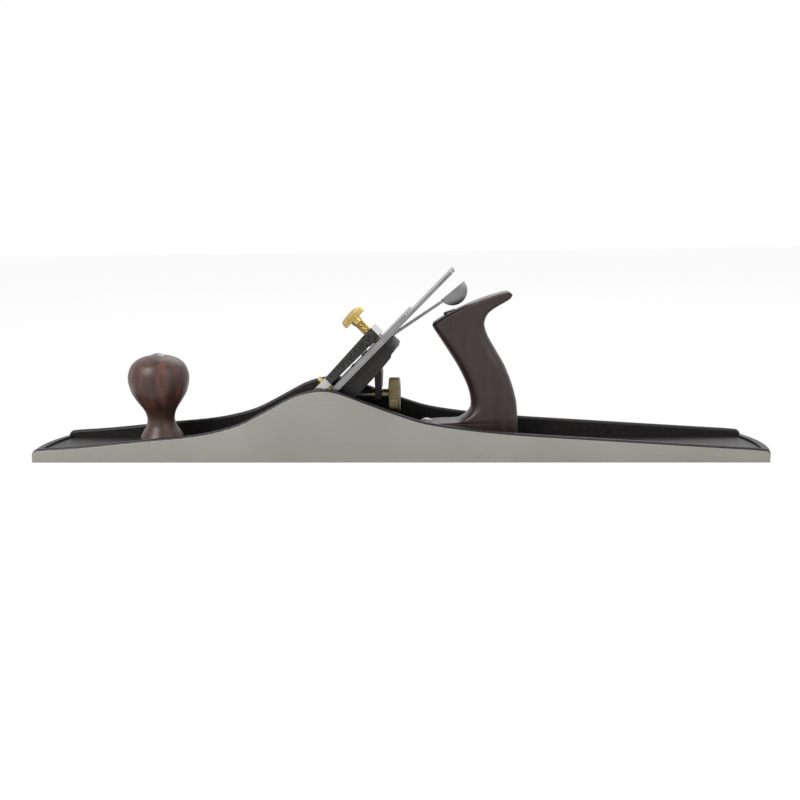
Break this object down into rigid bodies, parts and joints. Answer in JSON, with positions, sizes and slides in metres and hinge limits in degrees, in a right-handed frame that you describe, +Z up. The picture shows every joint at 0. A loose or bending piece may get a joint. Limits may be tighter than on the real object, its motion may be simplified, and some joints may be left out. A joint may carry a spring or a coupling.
{
  "type": "jointer plane",
  "caption": "Long metal jointer plane with humped ground sides, dark wooden knob and tote, slotted blade, screw-down lever cap, brass depth nut and lateral lever",
  "frame": {"origin": "under the middle of the sole, on its ground face", "axes": "+X from toe to heel, +Y across towards the far side of the picture, +Z up"},
  "size_m": [0.559, 0.073, 0.1407],
  "materials": {
    "body_iron": "ground sides, black paint inside",
    "black_paint": "black enamel",
    "dark_wood": "satin varnish",
    "steel": "plain steel",
    "blade_steel": "ground",
    "cap_casting": "painted back and sides, polished face",
    "brass": "turned and knurled"
  },
  "bodies": {
    "root": {"plane_body": "body_iron", "front_knob": "dark_wood", "knob_bolt": "steel", "knob_nut": "steel", "tote": "dark_wood", "tote_bolt": "steel", "tote_nut": "steel", "tote_toe_screw": "steel", "frog_screws": "steel", "frog_washers": "steel"},
    "frog": {"frog": "black_paint", "yoke_pin": "steel", "frog_clip": "steel", "frog_clip_screw": "steel", "lateral_rivet": "steel"},
    "frog_adjuster": {"frog_adjust_screw": "steel"},
    "yoke": {"yoke": "black_paint"},
    "depth_stud": {"depth_stud": "steel"},
    "depth_nut": {"depth_nut": "brass"},
    "lateral_lever": {"lateral_lever": "steel", "roller_rivet": "steel"},
    "lateral_roller": {"lateral_roller": "steel"},
    "cap_pivot": {"lever_cap_screw": "brass"},
    "cutter": {"blade": "blade_steel", "cap_iron": "blade_steel", "cap_iron_screw": "steel"},
    "lever_cap": {"lever_cap": "cap_casting"},
    "thumb_screw": {"thumb_screw": "brass"}
  },
  "joints": [
    {"name": "frog_slide", "type": "slide", "parent": "root", "child": "frog", "axis": [1, 0, 0], "range_m": [-0.0015, 0.0015]},
    {"name": "frog_screw_turn", "type": "hinge", "parent": "frog", "child": "frog_adjuster", "pos_m": [-0.03, 0, 0.0108], "axis": [1, 0, 0], "range_deg": [-540, 540]},
    {"name": "lateral_tilt", "type": "hinge", "parent": "frog", "child": "cap_pivot", "pos_m": [-0.0475, 0, 0.0454], "axis": [-0.7071, 0, 0.7071], "range_deg": [-1.2, 1.2]},
    {"name": "lateral_lever_swing", "type": "hinge", "parent": "frog", "child": "lateral_lever", "pos_m": [-0.00536, 0, 0.08754], "axis": [-0.7071, 0, 0.7071], "range_deg": [-10, 10]},
    {"name": "lateral_roller_turn", "type": "hinge", "parent": "lateral_lever", "child": "lateral_roller", "pos_m": [-0.00996, 0, 0.08294], "axis": [-0.7071, 0, 0.7071], "continuous": true},
    {"name": "blade_depth", "type": "slide", "parent": "cap_pivot", "child": "cutter", "axis": [-0.7071, 0, -0.7071], "range_m": [-0.002, 0.001]},
    {"name": "yoke_swing", "type": "hinge", "parent": "frog", "child": "yoke", "pos_m": [-0.0137, 0, 0.0668], "axis": [0, -1, 0], "range_deg": [-10, 5.5]},
    {"name": "depth_nut_turn", "type": "hinge", "parent": "frog", "child": "depth_stud", "pos_m": [-0.029, 0, 0.0448], "axis": [1, 0, 0], "range_deg": [-1300, 650]},
    {"name": "depth_nut_travel", "type": "slide", "parent": "depth_stud", "child": "depth_nut", "axis": [1, 0, 0], "range_m": [-0.0038, 0.0019]},
    {"name": "lever_cap_slide", "type": "slide", "parent": "frog", "child": "lever_cap", "axis": [0.7071, 0, 0.7071], "range_m": [0, 0.012]},
    {"name": "thumb_screw_turn", "type": "hinge", "parent": "lever_cap", "child": "thumb_screw", "pos_m": [-0.00989, 0, 0.08301], "axis": [-0.7071, 0, 0.7071], "range_deg": [-1080, 0]}
  ],
  "couplings": [
    {"joint": "frog_screw_turn", "follows": "frog_slide", "rad_per_m": 5937},
    {"joint": "lateral_lever_swing", "follows": "lateral_tilt", "ratio": -8.17},
    {"joint": "yoke_swing", "follows": "blade_depth", "rad_per_m": 83.3},
    {"joint": "depth_nut_turn", "follows": "blade_depth", "rad_per_m": 10900},
    {"joint": "depth_nut_travel", "follows": "blade_depth", "ratio": 1.83}
  ]
}
